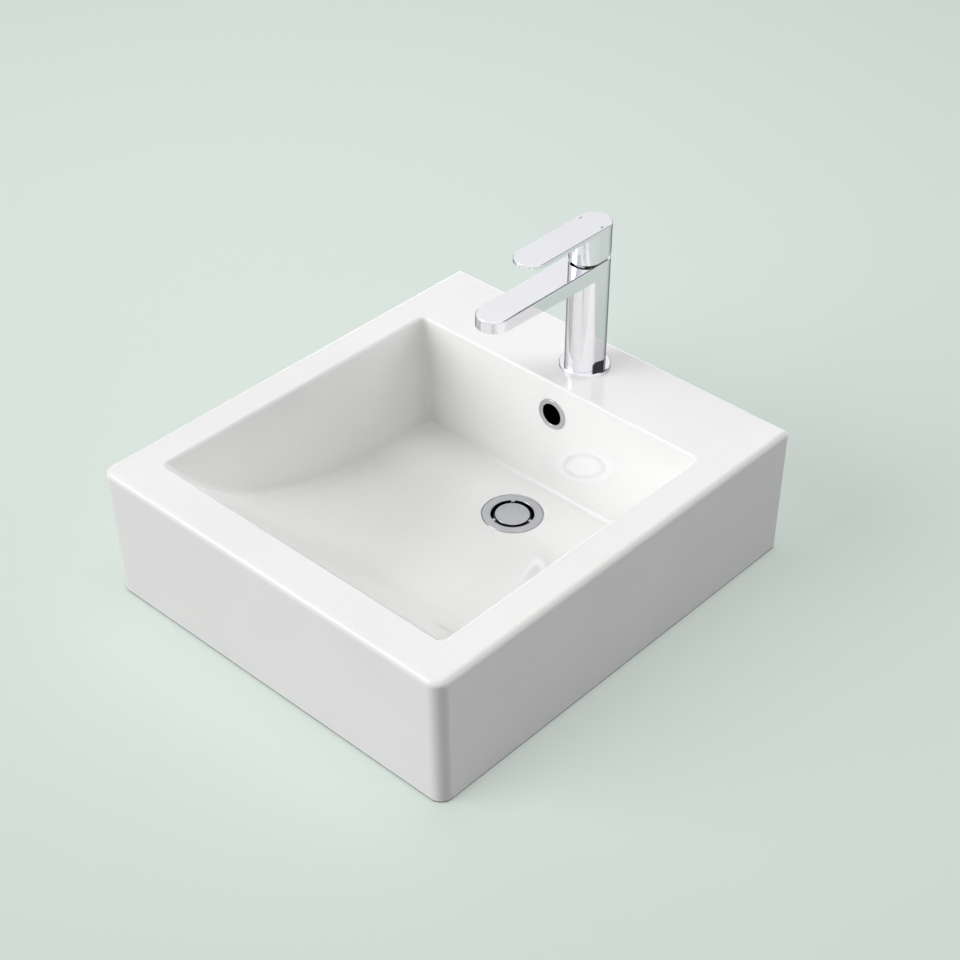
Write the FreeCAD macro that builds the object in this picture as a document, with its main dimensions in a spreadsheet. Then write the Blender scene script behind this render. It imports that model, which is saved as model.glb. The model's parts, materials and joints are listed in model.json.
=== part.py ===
import FreeCAD
import Part
import math
import os
import re
import Sketcher

# A countertop basin with its click waste and its single-lever mixer, as separate pieces in one frame.
# Millimetres. The origin is on the counter under the middle of the basin, X to the right, Y to the
# back and Z up. Waste pieces are drawn from the top of the flange, tap pieces from the ledge or from
# the top of the tap body, and each piece's placement puts it where it stands.

SIZES = {
    # basin block
    "basin_width": 420.0,
    "basin_depth": 475.0,
    "basin_height": 140.0,
    "side_draft": 1.0,
    "front_draft": 5.0,
    "front_corner": 13.0,
    "back_corner": 5.0,
    "rim_round": 6.0,
    "base_round": 2.0,
    "lip_round": 3.0,
    "shell_wall": 12.0,
    "ledge_thickness": 14.0,
    "cut_margin": 5.0,
    "bowl_overrun": 25.0,
    # bowl
    "side_rim": 36.5,
    "front_rim": 41.3,
    "back_rim": 93.5,
    "side_lean": 9.5,
    "back_lean": 2.0,
    "bowl_corner": 7.0,
    "crease_round": 6.0,
    "entry_angle": 56.0,
    "break_angle": 24.0,
    "floor_height": 14.3,
    "level_floor": 69.0,
    "bowl_wall": 10.0,
    # overflow and its duct
    "overflow_drop": 35.0,
    "overflow_hole": 25.5,
    "overflow_ring_outer": 32.5,
    "overflow_ring_inner": 22.5,
    "overflow_lip": 1.8,
    "overflow_edge": 1.2,
    "overflow_sleeve": 7.0,
    "sleeve_gap": 0.3,
    "duct_width": 44.0,
    "duct_depth": 9.0,
    "duct_front_wall": 6.0,
    "duct_skin": 5.0,
    "duct_rise": 15.0,
    "duct_floor": 3.0,
    "duct_slot_width": 30.0,
    "duct_slot_height": 5.5,
    # waste
    "drain_setback": 56.0,
    "waste_hole": 47.0,
    "waste_recess": 2.5,
    "recess_gap": 0.9,
    "boss_diameter": 72.0,
    "boss_gap": 0.5,
    "flange_diameter": 60.0,
    "flange_thickness": 1.8,
    "flange_gasket": 1.0,
    "edge_break": 0.4,
    "throat_diameter": 42.8,
    "throat_land": 1.6,
    "lug_drop": 0.3,
    "lug_height": 2.5,
    "lug_width": 3.6,
    "lug_gap": 0.4,
    "seat_depth": 11.4,
    "seat_diameter": 36.0,
    "cone_diameter": 46.4,
    "tail_diameter": 41.9,
    "tail_bore": 35.2,
    "tail_length": 70.0,
    "tail_chamfer": 0.8,
    "relief_top": 30.0,
    "relief_length": 2.0,
    "relief_depth": 0.7,
    "slot_width": 20.0,
    "slot_height": 2.2,
    "slot_gap": 0.2,
    "lower_gasket": 4.0,
    "lower_gasket_diameter": 64.0,
    "thread_gap": 0.06,
    "backnut_height": 8.0,
    "backnut_flats": 58.0,
    # plug and its latch
    "cap_diameter": 34.6,
    "cap_dome": 0.4,
    "cap_thickness": 3.0,
    "cap_boss_diameter": 10.0,
    "seal_diameter": 37.0,
    "seal_thickness": 1.8,
    "leg_reach": 17.2,
    "leg_width": 4.0,
    "leg_height": 4.0,
    "leg_top": 6.6,
    "leg_turn": 130.0,
    "spigot_diameter": 5.0,
    "spigot_length": 4.4,
    "stem_diameter": 6.4,
    "stem_length": 24.0,
    "slide_gap": 0.05,
    "bridge_top": 20.0,
    "bridge_height": 8.0,
    "bridge_width": 5.0,
    "hub_diameter": 16.0,
    "barrel_diameter": 10.0,
    "barrel_collar": 13.0,
    "barrel_collar_height": 3.0,
    "barrel_bottom": 40.0,
    "barrel_base": 2.0,
    "spring_wire": 0.7,
    "spring_diameter": 5.2,
    "spring_pitch": 2.0,
    # mixer body
    "tap_setback": 47.5,
    "tap_hole": 35.0,
    "body_width": 33.0,
    "column_length": 44.0,
    "spout_reach": 149.5,
    "body_top": 121.0,
    "spout_thickness": 16.0,
    "spout_tip_thickness": 12.0,
    "taper_start": 8.0,
    "spout_edge": 1.6,
    "base_ring_diameter": 50.0,
    "base_ring_height": 4.0,
    "base_ring_edge": 0.8,
    "base_gasket": 1.5,
    "base_gasket_diameter": 47.0,
    "ring_gap": 0.15,
    "inlet_spacing": 12.0,
    "inlet_back": 4.0,
    "inlet_bore": 5.0,
    "inlet_socket": 9.0,
    "inlet_socket_depth": 14.0,
    "hose_hole": 11.0,
    "outlet_forward": 7.0,
    "outlet_bore": 4.6,
    "riser_forward": 18.2,
    "outlet_drop": 4.0,
    "cross_bore": 3.6,
    "way_overrun": 2.5,
    "channel_bore": 3.6,
    "channel_depth": 4.8,
    # aerator
    "aerator_back": 16.5,
    "aerator_bore": 19.0,
    "aerator_roof": 4.0,
    "aerator_seal": 1.0,
    "aerator_seal_drop": 3.0,
    "aerator_ring_outer": 18.7,
    "aerator_ring_inner": 15.4,
    "aerator_ring_height": 5.4,
    "aerator_insert_height": 4.4,
    "aerator_hole": 1.9,
    "aerator_pitch": 2.8,
    # fixing under the ledge
    "stud_forward": 11.0,
    "stud_diameter": 8.0,
    "stud_in_body": 14.0,
    "stud_below": 52.0,
    "horseshoe_diameter": 48.0,
    "horseshoe_slot": 26.0,
    "horseshoe_slot_front": 4.0,
    "horseshoe_gasket": 3.0,
    "horseshoe_plate": 2.0,
    "stud_clearance": 0.3,
    "fixing_nut_flats": 13.0,
    "fixing_nut_height": 8.0,
    # cartridge
    "nut_bore": 28.0,
    "nut_height": 8.0,
    "nut_gap": 0.1,
    "nut_eye": 20.6,
    "cartridge_bore": 25.3,
    "cartridge_depth": 31.0,
    "housing_diameter": 25.0,
    "housing_gap": 1.0,
    "neck_diameter": 20.0,
    "neck_height": 6.0,
    "neck_bore": 16.2,
    "chamber_diameter": 21.4,
    "shoulder": 2.0,
    "cartridge_seal": 2.0,
    "cartridge_base": 5.0,
    "fixed_disc": 4.0,
    "disc_gap": 0.05,
    "moving_disc": 3.0,
    "moving_disc_diameter": 13.0,
    "carrier_diameter": 12.0,
    "carrier_height": 4.4,
    "port_bore": 4.6,
    "rotor_diameter": 16.0,
    "rotor_above": 5.0,
    "rotor_flange": 19.0,
    "rotor_flange_height": 1.8,
    "rotor_gap": 0.2,
    "rotor_slot_width": 6.5,
    "rotor_slot_length": 12.6,
    "pivot_drop": 1.0,
    "pin_diameter": 2.5,
    "pin_length": 14.6,
    "pin_gap": 0.05,
    # lever
    "lever_gap": 2.0,
    "lever_height": 34.5,
    "lever_length": 122.0,
    "plate_thickness": 4.0,
    "plate_edge": 1.0,
    "lever_skin": 3.0,
    "lever_pocket": 16.0,
    "relief_start": 5.0,
    "relief_angle": 20.0,
    "stem_square": 6.0,
    "stem_rise": 24.0,
    "stem_drop": 5.0,
    "socket_gap": 0.05,
    "tail_rod": 4.4,
    "ball_diameter": 5.0,
    "ball_drop": 13.5,
    "ball_gap": 0.3,
    "screw_height": 21.0,
    "screw_diameter": 4.0,
    "screw_length": 8.0,
    "screw_key": 2.0,
    "mark_across": 13.0,
    "mark_length": 4.0,
    "mark_width": 1.2,
    "mark_depth": 0.4,
    "mark_gap": 0.04,
}

doc = FreeCAD.newDocument("countertop_basin")
sheet = doc.addObject("Spreadsheet::Sheet", "Dims")
for row, (size_name, size_value) in enumerate(SIZES.items(), start=1):
    sheet.set(f"A{row}", size_name)
    sheet.set(f"B{row}", str(size_value))
    sheet.setAlias(f"B{row}", size_name)
doc.recompute()

UP = FreeCAD.Vector(0, 0, 1)

# Positions that several pieces share, written as formulas in the sizes.
BACK = "(basin_depth / 2)"
BOWL_BACK = f"({BACK} - back_rim)"
BOWL_FRONT = f"(front_rim - {BACK})"
BOWL_HALF = "(basin_width / 2 - side_rim)"
DRAIN_Y = f"({BOWL_BACK} - drain_setback)"
FLANGE_TOP = "(floor_height - waste_recess + flange_gasket + flange_thickness)"
OVERFLOW_Z = "(basin_height - overflow_drop)"
OVERFLOW_Y = f"({BOWL_BACK} - back_lean * overflow_drop / basin_height)"
OVERFLOW_TURN = "(90 deg - atan(back_lean / basin_height))"
TAP_Y = f"({BACK} - tap_setback)"
TAP_TOP = "(basin_height + body_top)"


def ex(text):
    """A formula in size names, as an expression on the sheet."""
    return re.sub(r"[a-z][a-z0-9_]*", lambda m: "Dims." * (m.group() in SIZES) + m.group(), str(text))


def value(text):
    """The number that a formula gives with the sheet's sizes."""
    result = sheet.evalExpression(ex(text))
    return float(getattr(result, "Value", result))


def place(item, x="0", y="0", z="0"):
    """Stand a piece at a point given by formulas."""
    for axis, text in zip("xyz", (x, y, z)):
        item.setExpression("Placement.Base." + axis, ex(text))
    return item


def new_body(label, x="0", y="0", z="0"):
    """An empty body that stands at the given point."""
    return place(doc.addObject("PartDesign::Body", label), x, y, z)


def sketch_on(body, role, name, height="0"):
    """A sketch on one of the body's own planes, moved along the plane's normal by height."""
    sketch = body.newObject("Sketcher::SketchObject", name)
    plane = next(f for f in body.Origin.OriginFeatures if f.Role == role)
    sketch.AttachmentSupport = [(plane, "")]
    sketch.MapMode = "FlatFace"
    sketch.setExpression("AttachmentOffset.Base.z", ex(height))
    return sketch


def bind(sketch, kind, items, text):
    """Add one dimension to a sketch and tie it to a formula."""
    index = sketch.addConstraint(Sketcher.Constraint(kind, *items, value(text)))
    sketch.setExpression(f"Constraints[{index}]", ex(text))


def outline(sketch, corners):
    """Draw a closed outline through corners (x, y), or (x, y, radius) where an arc to the left follows."""
    points = [FreeCAD.Vector(value(c[0]), value(c[1]), 0) for c in corners]
    first = sketch.GeometryCount
    for i, corner in enumerate(corners):
        start = points[i]
        end = points[(i + 1) % len(points)]
        if len(corner) == 2:
            sketch.addGeometry(Part.LineSegment(start, end), False)
            continue
        radius = value(corner[2])
        chord = end - start
        left = FreeCAD.Vector(-chord.y, chord.x, 0).normalize()
        reach = math.sqrt(max(radius ** 2 - (chord.Length / 2) ** 2, 0.0))
        centre = (start + end) * 0.5 + left * reach
        angles = [math.atan2(p.y - centre.y, p.x - centre.x) for p in (start, end)]
        sketch.addGeometry(Part.ArcOfCircle(Part.Circle(centre, UP, radius), *angles), False)
    for i, corner in enumerate(corners):
        following = first + (i + 1) % len(points)
        sketch.addConstraint(Sketcher.Constraint("Coincident", first + i, 2, following, 1))
        bind(sketch, "DistanceX", (-1, 1, first + i, 1), corner[0])
        bind(sketch, "DistanceY", (-1, 1, first + i, 1), corner[1])
        if len(corner) == 3:
            bind(sketch, "Radius", (first + i,), corner[2])


def circle(sketch, x, y, radius):
    """Draw one circle with its centre and radius given by formulas."""
    centre = FreeCAD.Vector(value(x), value(y), 0)
    index = sketch.addGeometry(Part.Circle(centre, UP, value(radius)), False)
    bind(sketch, "DistanceX", (-1, 1, index, 3), x)
    bind(sketch, "DistanceY", (-1, 1, index, 3), y)
    bind(sketch, "Radius", (index,), radius)


def rectangle(sketch, left, right, front, back):
    """Draw a rectangle between four formulas."""
    outline(sketch, [(left, front), (right, front), (right, back), (left, back)])


def stadium(sketch, width, front, back):
    """Draw a slot shape along Y with round ends: its width and the two far points."""
    half = f"({width}) / 2"
    minus = f"0 - {half}"
    outline(sketch, [
        (half, f"{front} + {half}"),
        (half, f"{back} - {half}", half),
        ("0", back, half),
        (minus, f"{back} - {half}"),
        (minus, f"{front} + {half}", half),
        ("0", front, half),
    ])


def hexagon(sketch, flats, x="0", y="0"):
    """Draw a hexagon of the given size across flats."""
    corner = f"({flats}) / 2 / cos(30 deg)"
    outline(sketch, [
        (f"{x} + {corner} * cos({60 * i} deg)", f"{y} + {corner} * sin({60 * i} deg)") for i in range(6)
    ])


def pad(body, sketch, length, symmetric=False, upside_down=False):
    """Grow the sketch into material."""
    feature = body.newObject("PartDesign::Pad", sketch.Name + "_pad")
    feature.Profile = sketch
    feature.setExpression("Length", ex(length))
    feature.SideType = "Symmetric" if symmetric else "One side"
    feature.Reversed = upside_down
    sketch.Visibility = False
    return feature


def pocket(body, sketch, length, symmetric=False, along_normal=False):
    """Cut the sketch out, against its normal unless along_normal is set."""
    feature = body.newObject("PartDesign::Pocket", sketch.Name + "_cut")
    feature.Profile = sketch
    feature.setExpression("Length", ex(length))
    feature.SideType = "Symmetric" if symmetric else "One side"
    feature.Reversed = along_normal
    sketch.Visibility = False
    return feature


def revolve(body, name, corners, cut=False):
    """Turn an outline of (radius, height) corners round the body's Z axis."""
    sketch = sketch_on(body, "XZ_Plane", name)
    outline(sketch, corners)
    kind = "PartDesign::Groove" if cut else "PartDesign::Revolution"
    feature = body.newObject(kind, name + "_turn")
    feature.Profile = sketch
    feature.ReferenceAxis = (sketch, ["V_Axis"])
    feature.Angle = 360
    sketch.Visibility = False
    return feature


def ring(label, outer, inner, low, high, x="0", y="0", z="0"):
    """A plain turned ring of two diameters between two heights."""
    body = new_body(label, x, y, z)
    revolve(body, label + "_section", [
        (f"({inner}) / 2", low), (f"({outer}) / 2", low),
        (f"({outer}) / 2", high), (f"({inner}) / 2", high),
    ])
    return body


def drill(body, name, places, radius, bottom, length):
    """Drill round holes upwards from a height."""
    sketch = sketch_on(body, "XY_Plane", name, bottom)
    for x, y in places:
        circle(sketch, x, y, radius)
    return pocket(body, sketch, length, along_normal=True)


def three_round(body, feature, name):
    """Repeat a feature three times round its own sketch's origin."""
    pattern = body.newObject("PartDesign::PolarPattern", name)
    pattern.Originals = [feature]
    pattern.Axis = (feature.Profile[0], ["N_Axis"])
    pattern.Angle = 360
    pattern.Occurrences = 3
    body.Tip = pattern
    return pattern


def soften(body, name, radius, test):
    """Round the edges of the body's last feature that pass the test."""
    doc.recompute()
    last = body.Tip
    names = [f"Edge{i}" for i, edge in enumerate(last.Shape.Edges, start=1) if test(edge)]
    feature = body.newObject("PartDesign::Fillet", name)
    feature.Base = (last, names)
    feature.setExpression("Radius", ex(radius))
    return feature


def middle(edge):
    """The point half way along an edge."""
    return edge.valueAt((edge.FirstParameter + edge.LastParameter) / 2)


def flat_at(edge, height):
    """Whether an edge lies level at a height."""
    box = edge.BoundBox
    return abs(box.ZMin - height) < 0.01 and abs(box.ZMax - height) < 0.01


# Bowl: a scoop of two tangent arcs that ends in a level floor, drawn once as the bowl's inside and once
# grown by the wall. The two radii follow from the entry slope, the slope where they meet and the floor.
SIN_A = "sin(entry_angle * 1 deg)"
COS_A = "cos(entry_angle * 1 deg)"
SIN_B = "sin(break_angle * 1 deg)"
COS_B = "cos(break_angle * 1 deg)"
SCOOP_RUN = f"({BOWL_BACK} - level_floor - {BOWL_FRONT})"
SCOOP_FALL = "(basin_height - floor_height)"
SCOOP_TURN = f"(({SIN_A} - {SIN_B}) * (1 - {COS_B}) - {SIN_B} * ({COS_B} - {COS_A}))"
STEEP_RADIUS = f"(({SCOOP_RUN} * (1 - {COS_B}) - {SCOOP_FALL} * {SIN_B}) / {SCOOP_TURN})"
LONG_RADIUS = f"((({SIN_A} - {SIN_B}) * {SCOOP_FALL} - ({COS_B} - {COS_A}) * {SCOOP_RUN}) / {SCOOP_TURN})"


def scoop(label, grow):
    """The bowl's inside, with every face moved outwards by grow."""
    body = new_body(label)
    top = "basin_height + bowl_overrun"
    entry_y = f"({BOWL_FRONT} - {grow} * {SIN_A})"
    entry_z = f"(basin_height - {grow} * {COS_A})"
    profile = sketch_on(body, "YZ_Plane", label + "_profile")
    outline(profile, [
        (f"{entry_y} - (bowl_overrun + {grow} * {COS_A}) * {COS_A} / {SIN_A}", top),
        (entry_y, entry_z, f"{STEEP_RADIUS} + {grow}"),
        (f"{BOWL_FRONT} + {STEEP_RADIUS} * ({SIN_A} - {SIN_B}) - {grow} * {SIN_B}",
         f"basin_height - {STEEP_RADIUS} * ({COS_B} - {COS_A}) - {grow} * {COS_B}",
         f"{LONG_RADIUS} + {grow}"),
        (f"{BOWL_BACK} - level_floor", f"floor_height - {grow}"),
        (f"{BOWL_BACK} + {grow} - back_lean * ({SCOOP_FALL} + {grow}) / basin_height",
         f"floor_height - {grow}"),
        (f"{BOWL_BACK} + {grow} + back_lean * bowl_overrun / basin_height", top),
    ])
    pad(body, profile, f"2 * ({BOWL_HALF} + {grow} + 2 * cut_margin)", symmetric=True)
    sides = sketch_on(body, "XZ_Plane", label + "_sides")
    near = f"{BOWL_HALF} + {grow} + side_lean * bowl_overrun / basin_height"
    far = f"{BOWL_HALF} + {grow} - side_lean * (basin_height + cut_margin) / basin_height"
    out = f"{BOWL_HALF} + {grow} + 3 * cut_margin"
    outline(sides, [(near, top), (far, "0 - cut_margin"), (out, "0 - cut_margin"), (out, top)])
    outline(sides, [
        (f"0 - ({near})", top), (f"0 - ({out})", top),
        (f"0 - ({out})", "0 - cut_margin"), (f"0 - ({far})", "0 - cut_margin"),
    ])
    pocket(body, sides, "2 * basin_depth", symmetric=True)
    return body


bowl = scoop("bowl_space", "0")
bowl_corner_y = value(f"{BOWL_BACK} - back_lean") - 1
soften(bowl, "bowl_corners", "bowl_corner",
       lambda e: abs(e.BoundBox.XLength) < e.BoundBox.ZLength / 2 and e.BoundBox.YMin > bowl_corner_y)


def is_floor(face):
    """Whether a face of the bowl's space looks down."""
    u0, u1, v0, v1 = face.ParameterRange
    return face.normalAt((u0 + u1) / 2, (v0 + v1) / 2).z < -0.3


doc.recompute()
floor_edges = [e for f in bowl.Tip.Shape.Faces if is_floor(f) for e in f.Edges]
space_top = value("basin_height + bowl_overrun")
soften(bowl, "bowl_creases", "crease_round",
       lambda e: sum(e.isSame(other) for other in floor_edges) == 1 and not flat_at(e, space_top))
thick_bowl = scoop("thick_bowl", "bowl_wall")


# Block: a box with a little draft on its front and sides, then its corners, rim and foot rounded.
block = new_body("basin_block")
block_plan = sketch_on(block, "XY_Plane", "block_plan")
rectangle(block_plan, "0 - basin_width / 2", "basin_width / 2", f"0 - {BACK}", BACK)
pad(block, block_plan, "basin_height")
side_wedges = sketch_on(block, "XZ_Plane", "side_wedges")
wedge_out = "(basin_width / 2 + cut_margin)"
outline(side_wedges, [
    ("basin_width / 2", "basin_height"), ("basin_width / 2 - side_draft", "0"), (wedge_out, "0"),
    (wedge_out, "basin_height"),
])
outline(side_wedges, [
    ("0 - basin_width / 2", "basin_height"), (f"0 - {wedge_out}", "basin_height"),
    (f"0 - {wedge_out}", "0"), ("side_draft - basin_width / 2", "0"),
])
pocket(block, side_wedges, "2 * basin_depth", symmetric=True)
front_wedge = sketch_on(block, "YZ_Plane", "front_wedge")
outline(front_wedge, [
    (f"0 - {BACK}", "basin_height"), (f"0 - {BACK} - cut_margin", "basin_height"),
    (f"0 - {BACK} - cut_margin", "0"), (f"front_draft - {BACK}", "0"),
])
pocket(block, front_wedge, "2 * basin_width", symmetric=True)
block_height = value("basin_height")
soften(block, "front_corners", "front_corner",
       lambda e: e.BoundBox.ZLength > block_height - 1 and middle(e).y < 0)
soften(block, "back_corners", "back_corner",
       lambda e: e.BoundBox.ZLength > block_height - 1 and middle(e).y > value(f"{BACK} - 1"))
soften(block, "block_rim", "rim_round", lambda e: flat_at(e, block_height))
soften(block, "block_base", "base_round", lambda e: flat_at(e, 0))


def box(name, left, right, front, back, low, high):
    """A box between six formulas."""
    item = place(doc.addObject("Part::Box", name), left, front, low)
    item.setExpression("Length", ex(f"({right}) - ({left})"))
    item.setExpression("Width", ex(f"({back}) - ({front})"))
    item.setExpression("Height", ex(f"({high}) - ({low})"))
    return item


def round_bar(name, radius, length, x="0", y="0", z="0"):
    """An upright cylinder."""
    item = place(doc.addObject("Part::Cylinder", name), x, y, z)
    item.setExpression("Radius", ex(radius))
    item.setExpression("Height", ex(length))
    return item


def join(name, items):
    """Several shapes as one."""
    item = doc.addObject("Part::MultiFuse", name)
    item.Shapes = items
    return item


def remove(name, base, tool):
    """One shape less another."""
    item = doc.addObject("Part::Cut", name)
    item.Base = base
    item.Tool = tool
    return item


# Basin shell: the block, hollowed from below round the thick bowl, with a waste boss and the overflow
# duct added, then the bowl, the duct's ways and the three holes taken out.
inside_x = "(basin_width / 2 - side_draft - shell_wall)"
inner_block = box("inner_block", f"0 - {inside_x}", inside_x, f"front_draft + shell_wall - {BACK}",
                  f"{BACK} - shell_wall", "0 - cut_margin", "basin_height - ledge_thickness")
hollow_block = remove("hollow_block", block, remove("under_hollow", inner_block, thick_bowl))
duct_front = f"({BOWL_BACK} + duct_front_wall)"
duct_back = f"({duct_front} + duct_depth)"
duct_half = "(duct_width / 2)"
duct_case = box("duct_case", f"0 - {duct_half} - duct_skin", f"{duct_half} + duct_skin", DRAIN_Y,
                f"{duct_back} + duct_skin", "boss_gap", f"{OVERFLOW_Z} + duct_rise + duct_skin")
boss = round_bar("waste_boss", "boss_diameter / 2", "floor_height - boss_gap", "0", DRAIN_Y, "boss_gap")
duct_shaft = box("duct_shaft", f"0 - {duct_half}", duct_half, duct_front, duct_back,
                 "duct_floor", f"{OVERFLOW_Z} + duct_rise")
duct_way = box("duct_way", "0 - duct_slot_width / 2", "duct_slot_width / 2", DRAIN_Y, duct_back,
               "duct_floor", "duct_floor + duct_slot_height")
overflow_bore = round_bar("overflow_bore", "overflow_hole / 2", "duct_front_wall + duct_depth + cut_margin",
                          "0", f"{OVERFLOW_Y} + duct_front_wall + duct_depth / 2",
                          f"{OVERFLOW_Z} - (duct_front_wall + duct_depth / 2) * back_lean / basin_height")
overflow_bore.Placement.Rotation = FreeCAD.Rotation(FreeCAD.Vector(1, 0, 0), 90)
overflow_bore.setExpression("Placement.Rotation.Angle", ex(OVERFLOW_TURN))
waste_bore = round_bar("waste_bore", "waste_hole / 2", "floor_height + cut_margin", "0", DRAIN_Y, "0")
recess = round_bar("waste_recess_cut", "flange_diameter / 2 + recess_gap", "waste_recess + cut_margin",
                   "0", DRAIN_Y, "floor_height - waste_recess")
tap_bore = round_bar("tap_bore", "tap_hole / 2", "ledge_thickness + 2 * cut_margin", "0", TAP_Y,
                     "basin_height - ledge_thickness - cut_margin")
solid_parts = join("shell_solid", [hollow_block, duct_case, boss])
cuts = join("shell_cuts", [bowl, duct_shaft, duct_way, overflow_bore, waste_bore, recess, tap_bore])
raw_shell = remove("raw_shell", solid_parts, cuts)
raw_shell.Refine = True
doc.recompute()

basin_shell = doc.addObject("PartDesign::Body", "basin_shell")
basin_shell.BaseFeature = raw_shell
opening_half = value(BOWL_HALF) + 1
opening_front = value(BOWL_FRONT) - 1
opening_back = value(BOWL_BACK) + 1
soften(basin_shell, "bowl_lip", "lip_round",
       lambda e: flat_at(e, block_height) and abs(middle(e).x) < opening_half
       and opening_front < middle(e).y < opening_back)

pieces = [basin_shell]

# Overflow ring, turned round the hole's axis; its outside faces into the bowl.
overflow_ring = new_body("overflow_ring", "0", OVERFLOW_Y, OVERFLOW_Z)
overflow_ring.Placement.Rotation = FreeCAD.Rotation(FreeCAD.Vector(1, 0, 0), 90)
overflow_ring.setExpression("Placement.Rotation.Angle", ex(OVERFLOW_TURN))
revolve(overflow_ring, "overflow_section", [
    ("overflow_ring_inner / 2", "0 - overflow_sleeve"),
    ("overflow_hole / 2 - sleeve_gap", "0 - overflow_sleeve"),
    ("overflow_hole / 2 - sleeve_gap", "0"),
    ("overflow_ring_outer / 2", "0"),
    ("overflow_ring_outer / 2", "overflow_lip - overflow_edge", "overflow_edge"),
    ("overflow_ring_outer / 2 - overflow_edge", "overflow_lip"),
    ("overflow_ring_inner / 2 + overflow_edge", "overflow_lip", "overflow_edge"),
    ("overflow_ring_inner / 2", "overflow_lip - overflow_edge"),
])
pieces.append(overflow_ring)

# Waste. Heights run down from the top of the flange.
AT_WASTE = ("0", DRAIN_Y, FLANGE_TOP)
waste_body = new_body("waste_body", *AT_WASTE)
TAIL = "(tail_diameter / 2)"
revolve(waste_body, "waste_section", [
    ("tail_bore / 2", "0 - tail_length"),
    (f"{TAIL} - tail_chamfer", "0 - tail_length"),
    (TAIL, "tail_chamfer - tail_length"),
    (TAIL, "0 - relief_top - relief_length"),
    (f"{TAIL} - relief_depth", "0 - relief_top - relief_length"),
    (f"{TAIL} - relief_depth", "0 - relief_top"),
    (TAIL, "0 - relief_top"),
    (TAIL, "0 - seat_depth + slot_gap"),
    ("cone_diameter / 2", "0 - flange_thickness"),
    ("flange_diameter / 2", "0 - flange_thickness"),
    ("flange_diameter / 2", "0 - edge_break"),
    ("flange_diameter / 2 - edge_break", "0"),
    ("throat_diameter / 2 + edge_break", "0"),
    ("throat_diameter / 2", "0 - edge_break"),
    ("throat_diameter / 2", "0 - throat_land"),
    ("seat_diameter / 2", "0 - seat_depth"),
    ("tail_bore / 2", "0 - seat_depth"),
])
slots = sketch_on(waste_body, "XZ_Plane", "overflow_slots")
rectangle(slots, "0 - slot_width / 2", "slot_width / 2", "0 - seat_depth - slot_gap - slot_height",
          "0 - seat_depth - slot_gap")
pocket(waste_body, slots, "tail_diameter + 2 * cut_margin", symmetric=True)
bridge = sketch_on(waste_body, "XY_Plane", "bridge_bar", "0 - bridge_top - bridge_height")
rectangle(bridge, "0 - (tail_bore + tail_diameter) / 4", "(tail_bore + tail_diameter) / 4",
          "0 - bridge_width / 2", "bridge_width / 2")
pad(waste_body, bridge, "bridge_height")
hub = sketch_on(waste_body, "XY_Plane", "bridge_hub", "0 - bridge_top - bridge_height")
circle(hub, "0", "0", "hub_diameter / 2")
pad(waste_body, hub, "bridge_height")
drill(waste_body, "barrel_hole", [("0", "0")], "barrel_diameter / 2 + thread_gap",
      "0 - bridge_top - bridge_height - cut_margin", "bridge_height + 2 * cut_margin")
lug_sketch = sketch_on(waste_body, "XY_Plane", "throat_lug", "0 - lug_drop - lug_height")
lug_sketch.AttachmentOffset.Rotation = FreeCAD.Rotation(UP, 90)
lug_sketch.setExpression("AttachmentOffset.Rotation.Angle", ex("leg_turn * 1 deg"))
rectangle(lug_sketch, "seal_diameter / 2 + lug_gap", "throat_diameter / 2 + edge_break", "0 - lug_width / 2",
          "lug_width / 2")
three_round(waste_body, pad(waste_body, lug_sketch, "lug_height"), "throat_lugs")
pieces.append(waste_body)

pieces.append(ring("waste_flange_gasket", "flange_diameter - 2 * edge_break", "waste_hole",
                   "0 - flange_thickness - flange_gasket", "0 - flange_thickness", *AT_WASTE))
BOSS_FACE = f"(boss_gap - {FLANGE_TOP})"
pieces.append(ring("waste_lower_gasket", "lower_gasket_diameter", "tail_diameter + 2 * thread_gap",
                   f"{BOSS_FACE} - lower_gasket", BOSS_FACE, *AT_WASTE))

waste_backnut = new_body("waste_backnut", *AT_WASTE)
nut_outline = sketch_on(waste_backnut, "XY_Plane", "backnut_outline",
                        f"{BOSS_FACE} - lower_gasket - backnut_height")
hexagon(nut_outline, "backnut_flats")
circle(nut_outline, "0", "0", "tail_diameter / 2 + thread_gap")
pad(waste_backnut, nut_outline, "backnut_height")
pieces.append(waste_backnut)

# Latch barrel in the waste's bridge, with the spring under the plug's stem.
click_barrel = new_body("click_barrel", *AT_WASTE)
STEM_HOLE = "(stem_diameter / 2 + slide_gap)"
revolve(click_barrel, "barrel_section", [
    ("0", "0 - barrel_bottom"),
    ("barrel_diameter / 2", "0 - barrel_bottom"),
    ("barrel_diameter / 2", "0 - bridge_top"),
    ("barrel_collar / 2", "0 - bridge_top"),
    ("barrel_collar / 2", "barrel_collar_height - bridge_top"),
    (STEM_HOLE, "barrel_collar_height - bridge_top"),
    (STEM_HOLE, "barrel_base - barrel_bottom"),
    ("0", "barrel_base - barrel_bottom"),
])
pieces.append(click_barrel)

SPRING_LENGTH = "(barrel_bottom - barrel_base - stem_length)"
click_spring = new_body("click_spring", "0", DRAIN_Y,
                        f"{FLANGE_TOP} - barrel_bottom + barrel_base + spring_wire / 2 + slide_gap")
wire = sketch_on(click_spring, "XZ_Plane", "spring_wire_section")
circle(wire, "spring_diameter / 2", "0", "spring_wire / 2")
coil = click_spring.newObject("PartDesign::AdditiveHelix", "spring_coil")
coil.Profile = wire
coil.ReferenceAxis = (wire, ["V_Axis"])
coil.Mode = "pitch-height-angle"
coil.setExpression("Pitch", ex("spring_pitch"))
coil.setExpression("Height", ex(f"{SPRING_LENGTH} - spring_wire - 2 * slide_gap"))
pieces.append(click_spring)

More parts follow.
